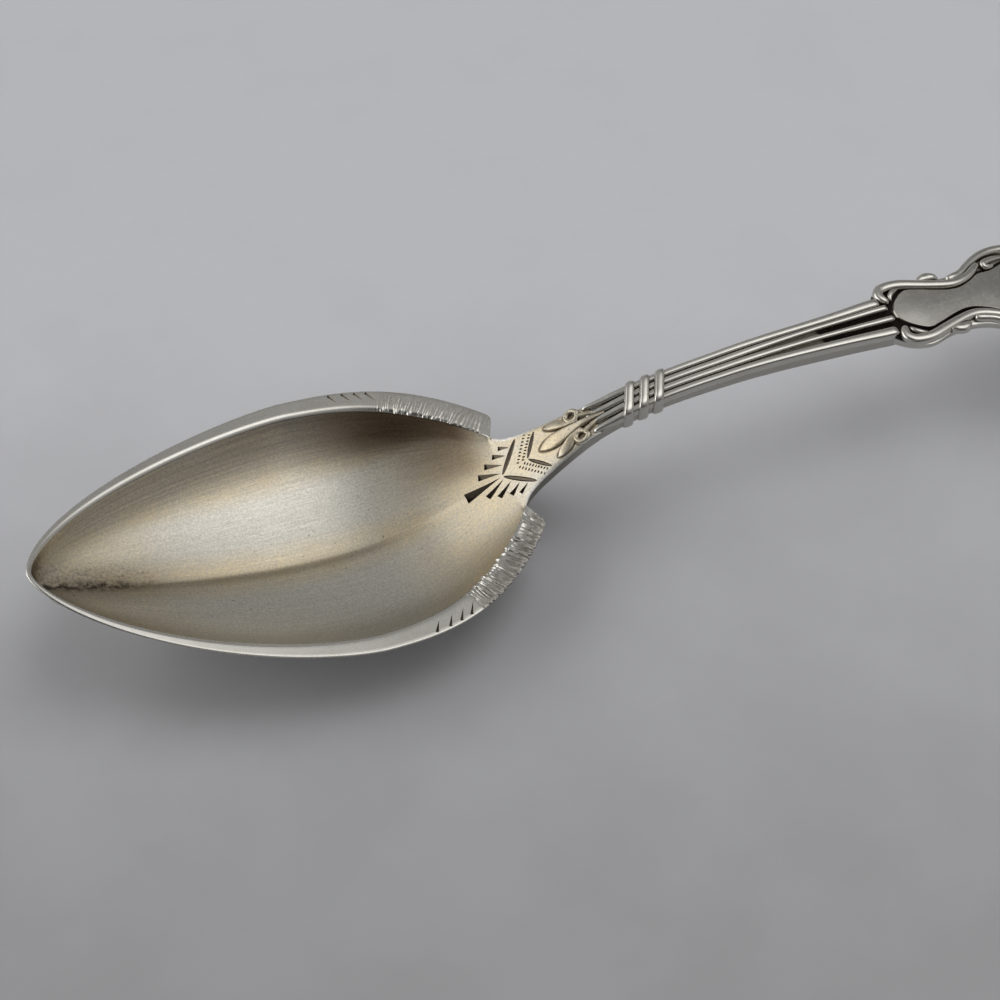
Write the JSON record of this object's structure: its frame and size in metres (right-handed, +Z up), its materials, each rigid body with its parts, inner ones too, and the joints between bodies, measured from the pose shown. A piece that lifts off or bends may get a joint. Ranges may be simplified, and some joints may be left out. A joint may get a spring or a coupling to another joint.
{
  "type": "grapefruit spoon",
  "caption": "Silver citrus spoon with a pointed gilt bowl and flat rim, a reeded arched stem with slanted ties and a scroll-bordered cartouche handle, for eating halved fruit.",
  "frame": {"origin": "on the table plane the spoon rests on, under the middle of its overall box", "axes": "+X from the bowl's tip towards the handle's end, +Y to the right of the hand that holds the handle with the bowl pointing away, +Z up from the table"},
  "size_m": [0.152, 0.0348, 0.0144],
  "materials": {
    "silver": "worn satin with dark tarnish in the recesses",
    "gilt_silver": "worn gold wash over satin silver"
  },
  "bodies": {
    "root": {"bowl": "gilt_silver", "rim_border": "silver", "stem": "silver", "palmette": "silver", "handle_plate": "silver", "end_shell": "silver", "reed_1": "silver", "reed_2": "silver", "reed_3": "silver", "reed_4": "silver", "tie_band_1": "silver", "tie_band_2": "silver", "tie_band_3": "silver", "lower_scroll_right": "silver", "lower_scroll_left": "silver", "knuckle_leaf_right": "silver", "knuckle_leaf_left": "silver", "upper_scroll_right": "silver", "upper_scroll_left": "silver", "side_border_right": "silver", "side_border_left": "silver"}
  },
  "joints": []
}
